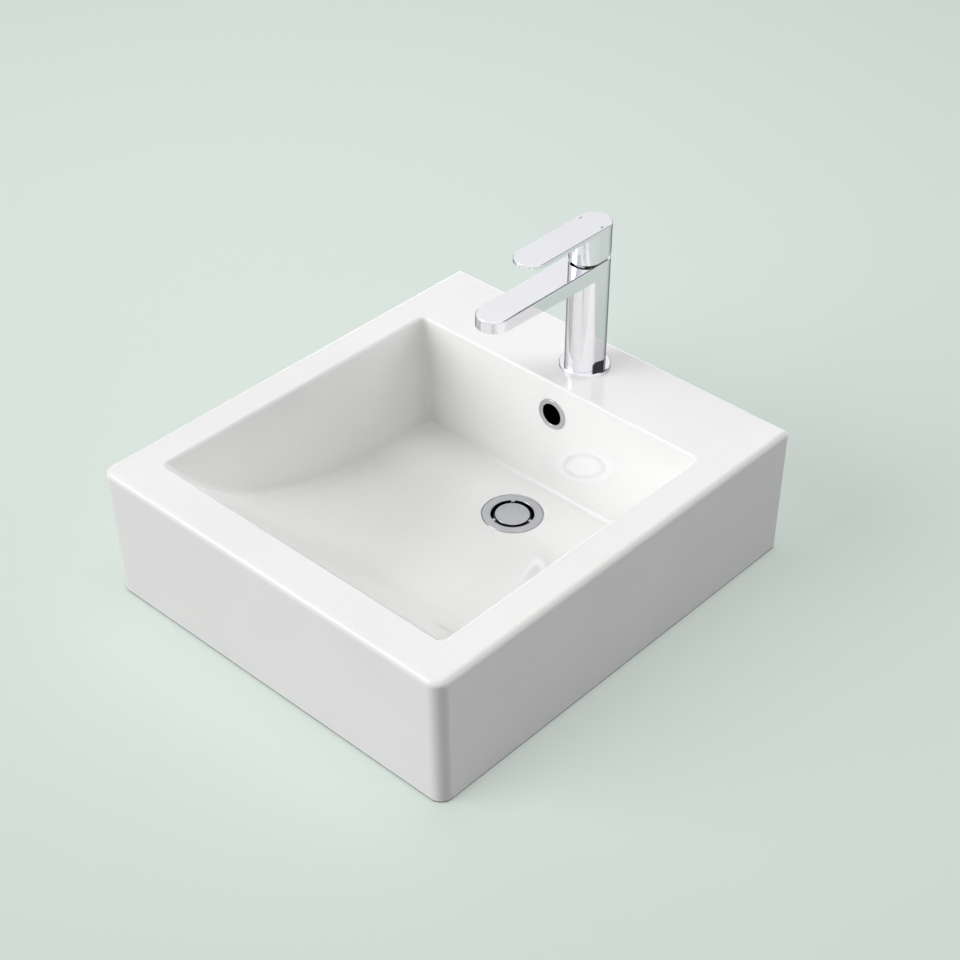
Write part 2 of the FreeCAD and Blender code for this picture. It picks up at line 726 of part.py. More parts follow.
# Plug: cap, rubber and the guide with its three legs, open and flush with the flange.
plug_cap = new_body("plug_cap", *AT_WASTE)
SPIGOT_HOLE = "(spigot_diameter / 2 + slide_gap)"
revolve(plug_cap, "cap_section", [
    ("0", "spigot_length - leg_top + slide_gap"),
    (SPIGOT_HOLE, "spigot_length - leg_top + slide_gap"),
    (SPIGOT_HOLE, "0 - leg_top"),
    ("cap_boss_diameter / 2", "0 - leg_top"),
    ("cap_boss_diameter / 2", "0 - cap_thickness"),
    ("cap_diameter / 2 - edge_break", "0 - cap_thickness"),
    ("cap_diameter / 2", "edge_break - cap_thickness"),
    ("cap_diameter / 2", "0 - 2 * edge_break"),
    ("cap_diameter / 2 - edge_break", "0 - edge_break",
     "(cap_diameter / 2 - edge_break)^2 / 2 / (cap_dome + edge_break) + (cap_dome + edge_break) / 2"),
    ("0", "cap_dome"),
])
pieces.append(plug_cap)

plug_seal = new_body("plug_seal", *AT_WASTE)
revolve(plug_seal, "seal_section", [
    ("cap_boss_diameter / 2 + slide_gap", "0 - cap_thickness - seal_thickness"),
    ("seal_diameter / 2 - seal_thickness / 2", "0 - cap_thickness - seal_thickness"),
    ("seal_diameter / 2", "0 - cap_thickness - seal_thickness / 2"),
    ("seal_diameter / 2", "0 - cap_thickness"),
    ("cap_boss_diameter / 2 + slide_gap", "0 - cap_thickness"),
])
pieces.append(plug_seal)

plug_guide = new_body("plug_guide", *AT_WASTE)
plug_guide.Placement.Rotation = FreeCAD.Rotation(UP, 90)
plug_guide.setExpression("Placement.Rotation.Angle", ex("leg_turn * 1 deg"))
revolve(plug_guide, "guide_section", [
    ("0", "0 - stem_length"),
    ("stem_diameter / 2", "0 - stem_length"),
    ("stem_diameter / 2", "0 - leg_top - leg_height"),
    ("cap_boss_diameter / 2", "0 - leg_top - leg_height"),
    ("cap_boss_diameter / 2", "0 - leg_top"),
    ("spigot_diameter / 2", "0 - leg_top"),
    ("spigot_diameter / 2", "spigot_length - leg_top"),
    ("0", "spigot_length - leg_top"),
])
leg_sketch = sketch_on(plug_guide, "XY_Plane", "guide_leg", "0 - leg_top - leg_height")
rectangle(leg_sketch, "0", "leg_reach", "0 - leg_width / 2", "leg_width / 2")
three_round(plug_guide, pad(plug_guide, leg_sketch, "leg_height"), "guide_legs")
pieces.append(plug_guide)

# Mixer body. Heights run up from the ledge.
AT_TAP = ("0", TAP_Y, "basin_height")
COLUMN_BACK = "(column_length / 2)"
COLUMN_FRONT = "(0 - column_length / 2)"
SPOUT_UNDER = "(body_top - spout_thickness)"
AERATOR_Y = "(aerator_back - spout_reach)"
mixer_body = new_body("mixer_body", *AT_TAP)
column = sketch_on(mixer_body, "XY_Plane", "column_plan", "base_gasket")
stadium(column, "body_width", COLUMN_FRONT, COLUMN_BACK)
pad(mixer_body, column, f"{SPOUT_UNDER} - base_gasket")
spout = sketch_on(mixer_body, "XY_Plane", "spout_plan", SPOUT_UNDER)
stadium(spout, "body_width", "(0 - spout_reach)", COLUMN_BACK)
pad(mixer_body, spout, "spout_thickness")
taper = sketch_on(mixer_body, "YZ_Plane", "spout_taper")
TIP_RISE = "(spout_thickness - spout_tip_thickness)"
outline(taper, [
    ("0 - spout_reach - cut_margin", f"{SPOUT_UNDER} - cut_margin"),
    (f"{COLUMN_FRONT} - taper_start", f"{SPOUT_UNDER} - cut_margin"),
    (f"{COLUMN_FRONT} - taper_start", SPOUT_UNDER),
    ("0 - spout_reach", f"{SPOUT_UNDER} + {TIP_RISE}"),
    ("0 - spout_reach - cut_margin", f"{SPOUT_UNDER} + {TIP_RISE}"),
])
pocket(mixer_body, taper, "2 * body_width", symmetric=True)
body_height = value("body_top")
soften(mixer_body, "spout_edges", "spout_edge", lambda e: flat_at(e, body_height))
SEAT = "(body_top - cartridge_depth)"
revolve(mixer_body, "cartridge_way", [
    ("0", SEAT),
    ("cartridge_bore / 2", SEAT),
    ("cartridge_bore / 2", "body_top - nut_height"),
    ("nut_bore / 2", "body_top - nut_height"),
    ("nut_bore / 2", "body_top + cut_margin"),
    ("0", "body_top + cut_margin"),
], cut=True)
INLETS = [("0 - inlet_spacing / 2", "inlet_back"), ("inlet_spacing / 2", "inlet_back")]
STUD = [("0", "0 - stud_forward")]
OUTLET = [("0", "0 - outlet_forward")]
RISER = [("0", "0 - riser_forward")]
drill(mixer_body, "inlet_ways", INLETS, "inlet_bore / 2", "base_gasket",
      f"{SEAT} - base_gasket + cut_margin")
drill(mixer_body, "inlet_sockets", INLETS, "inlet_socket / 2", "base_gasket", "inlet_socket_depth")
drill(mixer_body, "stud_socket", STUD, "stud_diameter / 2 + thread_gap", "base_gasket", "stud_in_body")
WAY_LOW = f"({SEAT} - outlet_drop - way_overrun)"
drill(mixer_body, "outlet_way", OUTLET, "outlet_bore / 2", WAY_LOW,
      "outlet_drop + way_overrun + cut_margin")
drill(mixer_body, "riser_way", RISER, "outlet_bore / 2", WAY_LOW,
      f"body_top - channel_depth + way_overrun - {WAY_LOW}")
cross = sketch_on(mixer_body, "XZ_Plane", "cross_way", "outlet_forward")
circle(cross, "0", f"{SEAT} - outlet_drop", "cross_bore / 2")
pocket(mixer_body, cross, "riser_forward - outlet_forward", along_normal=True)
channel = sketch_on(mixer_body, "XZ_Plane", "spout_way", "riser_forward")
circle(channel, "0", "body_top - channel_depth", "channel_bore / 2")
pocket(mixer_body, channel, "spout_reach - aerator_back - riser_forward", along_normal=True)
drill(mixer_body, "aerator_way", [("0", AERATOR_Y)], "aerator_bore / 2", SPOUT_UNDER,
      "spout_thickness - aerator_roof")
pieces.append(mixer_body)

base_ring = new_body("base_ring", *AT_TAP)
revolve(base_ring, "base_ring_section", [
    ("base_gasket_diameter / 2 + ring_gap", "0"),
    ("base_ring_diameter / 2", "0"),
    ("base_ring_diameter / 2", "base_ring_height - base_ring_edge"),
    ("base_ring_diameter / 2 - base_ring_edge", "base_ring_height"),
    ("0", "base_ring_height"),
    ("0", "base_gasket"),
    ("base_gasket_diameter / 2 + ring_gap", "base_gasket"),
])
ring_hole = sketch_on(base_ring, "XY_Plane", "base_ring_hole", "base_ring_height")
stadium(ring_hole, "body_width + 2 * ring_gap", f"{COLUMN_FRONT} - ring_gap", f"{COLUMN_BACK} + ring_gap")
pocket(base_ring, ring_hole, "base_ring_height")
pieces.append(base_ring)

base_gasket = new_body("base_gasket", *AT_TAP)
gasket_plan = sketch_on(base_gasket, "XY_Plane", "base_gasket_plan")
circle(gasket_plan, "0", "0", "base_gasket_diameter / 2")
circle(gasket_plan, "0", "0 - stud_forward", "stud_diameter / 2 + stud_clearance")
for hose_x, hose_y in INLETS:
    circle(gasket_plan, hose_x, hose_y, "hose_hole / 2")
pad(base_gasket, gasket_plan, "base_gasket")
pieces.append(base_gasket)

# Aerator, up inside the spout near its tip.
AT_AERATOR = ("0", f"{TAP_Y} + {AERATOR_Y}", f"{TAP_TOP} - aerator_roof - aerator_seal_drop")
pieces.append(ring("aerator_seal", "aerator_ring_outer", "aerator_ring_inner", "0", "aerator_seal",
                   *AT_AERATOR))
pieces.append(ring("aerator_ring", "aerator_ring_outer", "aerator_ring_inner", "0 - aerator_ring_height",
                   "0", *AT_AERATOR))
aerator_insert = new_body("aerator_insert", *AT_AERATOR)
insert_plan = sketch_on(aerator_insert, "XY_Plane", "insert_plan", "0 - aerator_insert_height")
circle(insert_plan, "0", "0", "aerator_ring_inner / 2 - slide_gap")
pad(aerator_insert, insert_plan, "aerator_insert_height")
cells = [("0", "0")]
for turn in range(0, 360, 60):
    for steps, degrees in ((1, turn), (2, turn + 15), (2, turn + 45)):
        reach = f"{steps} * aerator_pitch"
        cells.append((f"{reach} * cos({degrees} deg)", f"{reach} * sin({degrees} deg)"))
drill(aerator_insert, "insert_cells", cells, "aerator_hole / 2", "0 - aerator_insert_height",
      "aerator_insert_height")
pieces.append(aerator_insert)

# Fixing set that clamps the tap to the ledge from below.
LEDGE_UNDER = "(0 - ledge_thickness)"
fixing_stud = new_body("fixing_stud", *AT_TAP)
stud_plan = sketch_on(fixing_stud, "XY_Plane", "stud_plan", "0 - stud_below")
circle(stud_plan, "0", "0 - stud_forward", "stud_diameter / 2")
pad(fixing_stud, stud_plan, "stud_below + base_gasket + stud_in_body - stud_clearance")
pieces.append(fixing_stud)


def horseshoe(label, low, thickness):
    """A clamp plate that leaves the hoses free to the back."""
    body = new_body(label, *AT_TAP)
    plan = sketch_on(body, "XY_Plane", label + "_plan", low)
    circle(plan, "0", "0", "horseshoe_diameter / 2")
    circle(plan, "0", "0 - stud_forward", "stud_diameter / 2 + stud_clearance")
    pad(body, plan, thickness)
    slot = sketch_on(body, "XY_Plane", label + "_slot", low)
    rectangle(slot, "0 - horseshoe_slot / 2", "horseshoe_slot / 2", "0 - horseshoe_slot_front",
              "horseshoe_diameter")
    pocket(body, slot, thickness, along_normal=True)
    return body


pieces.append(horseshoe("horseshoe_gasket", f"{LEDGE_UNDER} - horseshoe_gasket", "horseshoe_gasket"))
WASHER_UNDER = f"({LEDGE_UNDER} - horseshoe_gasket - horseshoe_plate)"
pieces.append(horseshoe("horseshoe_washer", WASHER_UNDER, "horseshoe_plate"))
fixing_nut = new_body("fixing_nut", *AT_TAP)
fixing_plan = sketch_on(fixing_nut, "XY_Plane", "fixing_nut_plan", f"{WASHER_UNDER} - fixing_nut_height")
hexagon(fixing_plan, "fixing_nut_flats", "0", "0 - stud_forward")
circle(fixing_plan, "0", "0 - stud_forward", "stud_diameter / 2 + thread_gap")
pad(fixing_nut, fixing_plan, "fixing_nut_height")
pieces.append(fixing_nut)

# Cartridge. Heights run up from the top of the tap body.
AT_TOP = ("0", TAP_Y, TAP_TOP)
SHOULDER_TOP = "(0 - nut_height)"
CHAMBER_TOP = f"({SHOULDER_TOP} - shoulder)"
SEAL_TOP = "(cartridge_seal - cartridge_depth)"
BASE_TOP = f"({SEAL_TOP} + cartridge_base)"
FIXED_TOP = f"({BASE_TOP} + fixed_disc)"
MOVING_LOW = f"({FIXED_TOP} + disc_gap)"
MOVING_TOP = f"({MOVING_LOW} + moving_disc)"
CHAMBER_FIT = "(chamber_diameter / 2 - slide_gap)"
PORTS = INLETS + OUTLET

cartridge_housing = new_body("cartridge_housing", *AT_TOP)
revolve(cartridge_housing, "housing_section", [
    ("chamber_diameter / 2", "housing_gap - cartridge_depth"),
    ("housing_diameter / 2", "housing_gap - cartridge_depth"),
    ("housing_diameter / 2", SHOULDER_TOP),
    ("neck_diameter / 2", SHOULDER_TOP),
    ("neck_diameter / 2", "neck_height"),
    ("neck_bore / 2", "neck_height"),
    ("neck_bore / 2", CHAMBER_TOP),
    ("chamber_diameter / 2", CHAMBER_TOP),
])
pieces.append(cartridge_housing)
pieces.append(ring("cartridge_nut", "nut_bore - 2 * nut_gap", "nut_eye", SHOULDER_TOP, "0", *AT_TOP))


def ported_disc(label, low, thickness):
    """A disc of the cartridge's stack with two inlets and the outlet through it."""
    body = new_body(label, *AT_TOP)
    plan = sketch_on(body, "XY_Plane", label + "_plan", low)
    circle(plan, "0", "0", CHAMBER_FIT)
    for port_x, port_y in PORTS:
        circle(plan, port_x, port_y, "port_bore / 2")
    pad(body, plan, thickness)
    return body


pieces.append(ported_disc("cartridge_seal", "0 - cartridge_depth", "cartridge_seal"))
pieces.append(ported_disc("cartridge_base", SEAL_TOP, "cartridge_base"))
pieces.append(ported_disc("fixed_disc", BASE_TOP, "fixed_disc"))

moving_disc = new_body("moving_disc", *AT_TOP)
disc_plan = sketch_on(moving_disc, "XY_Plane", "moving_disc_plan", MOVING_LOW)
circle(disc_plan, "0", "0", "moving_disc_diameter / 2")
pad(moving_disc, disc_plan, "moving_disc")
mixing = sketch_on(moving_disc, "XY_Plane", "mixing_hollow", MOVING_LOW)
circle(mixing, "0", "0", "port_bore / 2")
pocket(moving_disc, mixing, "moving_disc / 2", along_normal=True)
pieces.append(moving_disc)

disc_carrier = new_body("disc_carrier", *AT_TOP)
BALL_HOLE = "(ball_diameter / 2 + ball_gap)"
revolve(disc_carrier, "carrier_section", [
    ("0", MOVING_TOP),
    ("carrier_diameter / 2", MOVING_TOP),
    ("carrier_diameter / 2", f"{MOVING_TOP} + carrier_height"),
    (BALL_HOLE, f"{MOVING_TOP} + carrier_height"),
    (BALL_HOLE, "0 - ball_drop - ball_diameter / 2 - ball_gap"),
    ("0", "0 - ball_drop - ball_diameter / 2 - ball_gap"),
])
pieces.append(disc_carrier)

cartridge_rotor = new_body("cartridge_rotor", *AT_TOP)
ROTOR_TOP = f"({CHAMBER_TOP} - rotor_gap)"
ROTOR_LOW = f"({ROTOR_TOP} - rotor_flange_height)"
revolve(cartridge_rotor, "rotor_section", [
    ("0", ROTOR_LOW),
    ("rotor_flange / 2", ROTOR_LOW),
    ("rotor_flange / 2", ROTOR_TOP),
    ("rotor_diameter / 2", ROTOR_TOP),
    ("rotor_diameter / 2", "rotor_above"),
    ("0", "rotor_above"),
])
rotor_slot = sketch_on(cartridge_rotor, "XY_Plane", "rotor_slot", "rotor_above")
rectangle(rotor_slot, "0 - rotor_slot_width / 2", "rotor_slot_width / 2", "0 - rotor_slot_length / 2",
          "rotor_slot_length / 2")
pocket(cartridge_rotor, rotor_slot, f"rotor_above - {ROTOR_LOW} + cut_margin")
pin_hole = sketch_on(cartridge_rotor, "YZ_Plane", "pin_hole")
circle(pin_hole, "0", "0 - pivot_drop", "pin_diameter / 2 + pin_gap / 2")
pocket(cartridge_rotor, pin_hole, "2 * rotor_diameter", symmetric=True)
pieces.append(cartridge_rotor)

stem_pin = new_body("stem_pin", *AT_TOP)
pin_plan = sketch_on(stem_pin, "YZ_Plane", "pin_plan")
circle(pin_plan, "0", "0 - pivot_drop", "pin_diameter / 2")
pad(stem_pin, pin_plan, "pin_length", symmetric=True)
pieces.append(stem_pin)

# Lever: stem, handle, its screw and the two marks.
lever_stem = new_body("lever_stem", *AT_TOP)
bar = sketch_on(lever_stem, "XY_Plane", "stem_bar", "0 - stem_drop")
rectangle(bar, "0 - stem_square / 2", "stem_square / 2", "0 - stem_square / 2", "stem_square / 2")
pad(lever_stem, bar, "stem_drop + stem_rise")
revolve(lever_stem, "stem_tail", [
    ("0", "0 - ball_drop - ball_diameter / 2", "ball_diameter / 2"),
    ("ball_diameter / 2", "0 - ball_drop", "ball_diameter / 2"),
    ("tail_rod / 2", "sqrt((ball_diameter / 2)^2 - (tail_rod / 2)^2) - ball_drop"),
    ("tail_rod / 2", "0 - stem_drop"),
    ("0", "0 - stem_drop"),
])
eye = sketch_on(lever_stem, "YZ_Plane", "stem_eye")
circle(eye, "0", "0 - pivot_drop", "pin_diameter / 2 + pin_gap")
pocket(lever_stem, eye, "2 * stem_square", symmetric=True)
pieces.append(lever_stem)

lever_handle = new_body("lever_handle", *AT_TOP)
LEVER_TOP = "(lever_gap + lever_height)"
skirt = sketch_on(lever_handle, "XY_Plane", "skirt_plan", "lever_gap")
stadium(skirt, "body_width", COLUMN_FRONT, COLUMN_BACK)
pad(lever_handle, skirt, "lever_height - plate_thickness")
plate = sketch_on(lever_handle, "XY_Plane", "plate_plan", f"{LEVER_TOP} - plate_thickness")
stadium(plate, "body_width", f"({COLUMN_BACK} - lever_length)", COLUMN_BACK)
pad(lever_handle, plate, "plate_thickness")
lever_top_height = value(LEVER_TOP)
soften(lever_handle, "plate_edges", "plate_edge", lambda e: flat_at(e, lever_top_height))
hollow = sketch_on(lever_handle, "XY_Plane", "skirt_hollow", "lever_gap")
stadium(hollow, "body_width - 2 * lever_skin", f"{COLUMN_FRONT} + lever_skin",
        f"{COLUMN_BACK} - lever_skin")
pocket(lever_handle, hollow, "lever_pocket", along_normal=True)
socket = sketch_on(lever_handle, "XY_Plane", "stem_socket", "lever_gap")
socket_half = "(stem_square / 2 + socket_gap)"
rectangle(socket, f"0 - {socket_half}", socket_half, f"0 - {socket_half}", socket_half)
pocket(lever_handle, socket, "stem_rise - lever_gap + socket_gap", along_normal=True)
relief = sketch_on(lever_handle, "YZ_Plane", "skirt_relief")
relief_back = f"({COLUMN_BACK} + cut_margin)"
outline(relief, [
    ("relief_start", "0"),
    (relief_back, "0"),
    (relief_back, f"lever_gap + ({relief_back} - relief_start) * tan(relief_angle * 1 deg)"),
    ("relief_start", "lever_gap"),
])
pocket(lever_handle, relief, "2 * body_width", symmetric=True)
screw_hole = sketch_on(lever_handle, "XZ_Plane", "screw_hole", "0 - stem_square / 2")
circle(screw_hole, "0", "screw_height", "screw_diameter / 2 + thread_gap")
pocket(lever_handle, screw_hole, "column_length")
mark_holes = sketch_on(lever_handle, "XY_Plane", "mark_hollows", LEVER_TOP)
for side in ("0 - mark_across", "mark_across"):
    rectangle(mark_holes, f"{side} - mark_width / 2", f"{side} + mark_width / 2", "0 - mark_length / 2",
              "mark_length / 2")
pocket(lever_handle, mark_holes, "mark_depth")
pieces.append(lever_handle)

handle_screw = new_body("handle_screw", *AT_TOP)
screw_plan = sketch_on(handle_screw, "XZ_Plane", "screw_plan", "0 - stem_square / 2 - socket_gap")
circle(screw_plan, "0", "screw_height", "screw_diameter / 2")
pad(handle_screw, screw_plan, "screw_length", upside_down=True)
key = sketch_on(handle_screw, "XZ_Plane", "screw_key", "0 - stem_square / 2 - socket_gap - screw_length")
hexagon(key, "screw_key", "0", "screw_height")
pocket(handle_screw, key, "screw_length / 3", along_normal=True)
pieces.append(handle_screw)


def mark(label, side):
    """A coloured dash let into the top of the lever."""
    body = new_body(label, *AT_TOP)
    plan = sketch_on(body, "XY_Plane", label + "_plan", f"{LEVER_TOP} - mark_depth")
    rectangle(plan, f"{side} - mark_width / 2 + mark_gap", f"{side} + mark_width / 2 - mark_gap",
              "mark_gap - mark_length / 2", "mark_length / 2 - mark_gap")
    pad(body, plan, "mark_depth")
    return body


pieces.append(mark("hot_mark", "0 - mark_across"))
pieces.append(mark("cold_mark", "mark_across"))

doc.recompute()
for item in doc.Objects:
    broken = {"Invalid", "Error"} & set(item.State)
    if broken:
        raise RuntimeError(f"{item.Label} did not build: {item.State}")
os.makedirs("parts", exist_ok=True)
for piece in pieces:
    shape = piece.Shape
    if shape.isNull() or not shape.isValid() or len(shape.Solids) != 1:
        raise RuntimeError(f"{piece.Label} is not one valid solid")
    shape.exportStep(os.path.join("parts", piece.Label + ".step"))
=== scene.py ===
import json
import math

import bmesh
import bpy
from mathutils import Matrix, Vector


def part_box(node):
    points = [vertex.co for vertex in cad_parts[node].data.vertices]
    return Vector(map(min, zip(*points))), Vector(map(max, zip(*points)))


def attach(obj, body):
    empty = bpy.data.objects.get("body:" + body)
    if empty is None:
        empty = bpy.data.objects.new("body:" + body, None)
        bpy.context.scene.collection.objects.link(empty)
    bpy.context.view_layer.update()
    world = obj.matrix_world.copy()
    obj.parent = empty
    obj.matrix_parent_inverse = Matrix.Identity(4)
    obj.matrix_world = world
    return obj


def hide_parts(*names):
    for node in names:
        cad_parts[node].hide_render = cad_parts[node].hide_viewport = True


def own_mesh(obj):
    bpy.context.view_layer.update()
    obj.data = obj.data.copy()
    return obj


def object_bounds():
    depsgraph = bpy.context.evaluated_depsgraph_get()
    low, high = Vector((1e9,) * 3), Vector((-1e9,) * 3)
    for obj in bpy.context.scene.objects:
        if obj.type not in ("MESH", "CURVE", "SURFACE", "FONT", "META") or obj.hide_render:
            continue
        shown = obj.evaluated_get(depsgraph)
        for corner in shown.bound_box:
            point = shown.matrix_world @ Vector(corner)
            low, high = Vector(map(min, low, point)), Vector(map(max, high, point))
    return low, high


# Looks of the countertop basin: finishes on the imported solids, a studio floor, soft light and the
# photograph's camera. Metres, in the frame of the solids.

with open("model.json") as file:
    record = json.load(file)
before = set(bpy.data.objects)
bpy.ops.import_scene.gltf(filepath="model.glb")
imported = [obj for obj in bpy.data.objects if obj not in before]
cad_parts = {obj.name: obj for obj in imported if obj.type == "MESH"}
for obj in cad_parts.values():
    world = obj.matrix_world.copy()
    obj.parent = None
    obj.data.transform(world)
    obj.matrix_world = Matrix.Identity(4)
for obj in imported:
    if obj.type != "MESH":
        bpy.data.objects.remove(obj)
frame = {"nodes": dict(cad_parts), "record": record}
cad_low, cad_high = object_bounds()
nodes = frame["nodes"]

# The photograph's camera, solved from the basin's corners. Its lens and sensor are in millimetres.
CAMERA_PLACE = Vector((1.0156, -1.0734, 1.2355))
CAMERA_AZIMUTH = math.radians(42.353)
CAMERA_ELEVATION = math.radians(37.419)
CAMERA_ROLL = math.radians(0.453)
CAMERA_LENS = 75.49
CAMERA_SENSOR = 36.0
CAMERA_NEAREST = 0.05
CAMERA_FURTHEST = 50.0

# Places that the finishes and the stage need, read from the solids.
tail_low, tail_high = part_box("waste_body")
drain = (tail_low + tail_high) / 2
overflow_low, overflow_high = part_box("overflow_ring")


def linear(red, green, blue):
    """A colour as it looks on a screen, as the linear colour that a shader takes."""
    return tuple(((c / 255 + 0.055) / 1.055) ** 2.4 for c in (red, green, blue)) + (1.0,)


class Nodes:
    """A tree of shader nodes."""

    def __init__(self, tree):
        self.tree = tree
        self.coords = self.add("ShaderNodeTexCoord").outputs

    def fill(self, node, inputs):
        """Inputs of a node, each a value or the socket that feeds it."""
        for socket, value in inputs.items():
            if isinstance(value, bpy.types.NodeSocket):
                self.tree.links.new(value, node.inputs[socket])
            else:
                node.inputs[socket].default_value = value

    def add(self, kind, inputs=None, **settings):
        """A new node with its settings and inputs."""
        node = self.tree.nodes.new(kind)
        for name, value in settings.items():
            setattr(node, name, value)
        self.fill(node, inputs or {})
        return node

    def maths(self, operation, first, second=0.0):
        """The result of a sum on two numbers or sockets."""
        return self.add("ShaderNodeMath", {0: first, 1: second}, operation=operation).outputs["Value"]

    def vector(self, operation, first, second=(0, 0, 0)):
        """The result of a sum on two vectors."""
        return self.add("ShaderNodeVectorMath", {0: first, 1: second}, operation=operation).outputs["Vector"]

    def ramp(self, source, low, high, first, second):
        """A smooth run from first to second as the source goes from low to high."""
        values = {"Value": source, "From Min": low, "From Max": high, "To Min": first, "To Max": second}
        return self.add("ShaderNodeMapRange", values, interpolation_type="SMOOTHSTEP").outputs["Result"]

    def blend(self, factor, first, second):
        """One colour turning into another."""
        node = self.add("ShaderNodeMix", data_type="RGBA")
        self.fill(node, {"Factor": factor, "A": first, "B": second})
        return node.outputs["Result"]


# Values between which most of a noise pattern lies.
NOISE_SPAN = (0.3, 0.7)


class Finish(Nodes):
    """The material of a piece, with patterns in the piece's own coordinates."""

    def __init__(self, name):
        self.material = bpy.data.materials.new(name)
        self.material.use_nodes = True
        super().__init__(self.material.node_tree)

    def set(self, inputs):
        """Inputs of the material's shader."""
        self.fill(self.tree.nodes["Principled BSDF"], inputs)

    def noise(self, scale, detail=2.0, stretch=(1, 1, 1)):
        """A noise pattern with scale features to a metre, from 0 to 1."""
        mapping = self.add("ShaderNodeMapping", {"Vector": self.coords["Object"], "Scale": stretch})
        values = {"Vector": mapping.outputs["Vector"], "Scale": scale, "Detail": detail}
        return self.add("ShaderNodeTexNoise", values).outputs["Fac"]

    def spread(self, pattern, low=0.0, high=1.0):
        """A noise pattern stretched to run between two values."""
        least, most = NOISE_SPAN
        values = {"Value": pattern, "From Min": least, "From Max": most, "To Min": low, "To Max": high}
        return self.add("ShaderNodeMapRange", values).outputs["Result"]

    def bump(self, pattern, height):
        """A relief of the given height in metres."""
        relief = self.add("ShaderNodeBump", {"Height": pattern, "Distance": height})
        self.set({"Normal": relief.outputs["Normal"]})

    def inside(self, low, high):
        """1 at places in the box between two corners, 0 elsewhere."""
        middle = (Vector(low) + Vector(high)) / 2
        away = self.vector("ABSOLUTE", self.vector("SUBTRACT", self.coords["Object"], middle))
        share = self.vector("DIVIDE", away, Vector(high) - middle)
        parts = self.add("ShaderNodeSeparateXYZ", {0: share}).outputs
        furthest = self.maths("MAXIMUM", self.maths("MAXIMUM", parts["X"], parts["Y"]), parts["Z"])
        return self.maths("LESS_THAN", furthest, 1.0)


# Painted shade: a near-black tone put into the overflow's duct, the sleeve of its ring and the throat of the
# waste, where depth keeps them dark.
PAINTED_DEPTH_SHADE = (0.010, 0.010, 0.010, 1.0)
DUCT_HALF_WIDTH = 0.0225
DUCT_BOTTOM = 0.002
DUCT_TOP = 0.1205
DUCT_FRONT = overflow_high.y - 0.0012
DUCT_BACK = overflow_high.y + 0.0090
DUCT = ((-DUCT_HALF_WIDTH, DUCT_FRONT, DUCT_BOTTOM), (DUCT_HALF_WIDTH, DUCT_BACK, DUCT_TOP))
SLEEVE_FRONT = overflow_low.y + 0.0026
SLEEVE_BACK = 0.152
SLEEVE = ((overflow_low.x, SLEEVE_FRONT, overflow_low.z), (overflow_high.x, SLEEVE_BACK, overflow_high.z))
THROAT_HALF_WIDTH = 0.0216
THROAT_TOP = tail_high.z - 0.0007
THROAT = ((-THROAT_HALF_WIDTH, drain.y - THROAT_HALF_WIDTH, 0.0),
          (THROAT_HALF_WIDTH, drain.y + THROAT_HALF_WIDTH, THROAT_TOP))

# Painted contact shadow: a dark band along the foot where it stands on the counter, in a box a little wider
# than the part.
CONTACT_SHADOW = (0.10, 0.098, 0.095, 1.0)
FOOT_HEIGHT = 0.0023
FOOT_BELOW = -0.001
FOOT_MARGIN = 0.01
FOOT_SHADOW = ((cad_low.x - FOOT_MARGIN, cad_low.y - FOOT_MARGIN, FOOT_BELOW),
        (cad_high.x + FOOT_MARGIN, cad_high.y + FOOT_MARGIN, FOOT_HEIGHT))


def glaze():
    """White glaze: nearly even, with a faint cloud in its tone and the slow waviness of a fired coat, and
    with painted shade in its overflow duct and a painted contact shadow along its foot.
    """
    finish = Finish("white_glaze")
    tone = finish.blend(finish.spread(finish.noise(9.0, 3.0)), linear(240, 240, 239), linear(244, 244, 243))
    # painted contact shadow: a near-black band along the foot
    tone = finish.blend(finish.inside(*FOOT_SHADOW), tone, CONTACT_SHADOW)
    # painted shade: near black inside the overflow's duct
    tone = finish.blend(finish.inside(*DUCT), tone, PAINTED_DEPTH_SHADE)
    finish.set({
        "Base Color": tone,
        "Roughness": finish.spread(finish.noise(40.0), 0.03, 0.06),
        "IOR": 1.6,
    })
    finish.bump(finish.noise(28.0, 1.0), 0.00004)
    return finish.material


def plated(name, dark, colour, smooth, dull, shade_box=None):
    """Plated metal: a mirror with a faint cloud in its tone and fine wiping marks in its gloss, and painted
    shade inside shade_box when one is given.
    """
    finish = Finish(name)
    tone = finish.blend(finish.spread(finish.noise(30.0)), dark, colour)
    if shade_box:
        # painted shade: near black inside the given box
        tone = finish.blend(finish.inside(*shade_box), tone, PAINTED_DEPTH_SHADE)
    gloss = finish.spread(finish.noise(260.0, 3.0), smooth, dull)
    finish.set({"Base Color": tone, "Metallic": 1.0, "Roughness": gloss})
    return finish.material


# Share of the light that chrome keeps at its edges, near 82 degrees from face on.
CHROME_EDGE = (0.14, 0.14, 0.16, 1.0)


def chrome():
    """Bright chrome: a plated mirror that turns dark where it is seen nearly edge on."""
    material = plated("bright_chrome", (0.96, 0.96, 0.99, 1.0), (0.98, 0.98, 1.00, 1.0), 0.02, 0.05)
    material.node_tree.nodes["Principled BSDF"].inputs["Specular Tint"].default_value = CHROME_EDGE
    return material


def machined(name, dark, colour):
    """Turned metal: fine rings of tone round the vertical."""
    finish = Finish(name)
    lines = finish.noise(900.0, stretch=(0.05, 0.05, 1))
    finish.set({
        "Base Color": finish.blend(finish.spread(lines), dark, colour),
        "Metallic": 1.0,
        "Roughness": finish.spread(lines, 0.25, 0.40),
    })
    finish.bump(lines, 0.00002)
    return finish.material


def moulded(name, dark, colour, rough):
    """Moulded rubber or plastic with a fine grain."""
    finish = Finish(name)
    grain = finish.noise(2500.0)
    finish.set({
        "Base Color": finish.blend(finish.spread(grain), dark, colour),
        "Roughness": finish.spread(grain, rough - 0.08, rough + 0.08),
    })
    finish.bump(grain, 0.00002)
    return finish.material


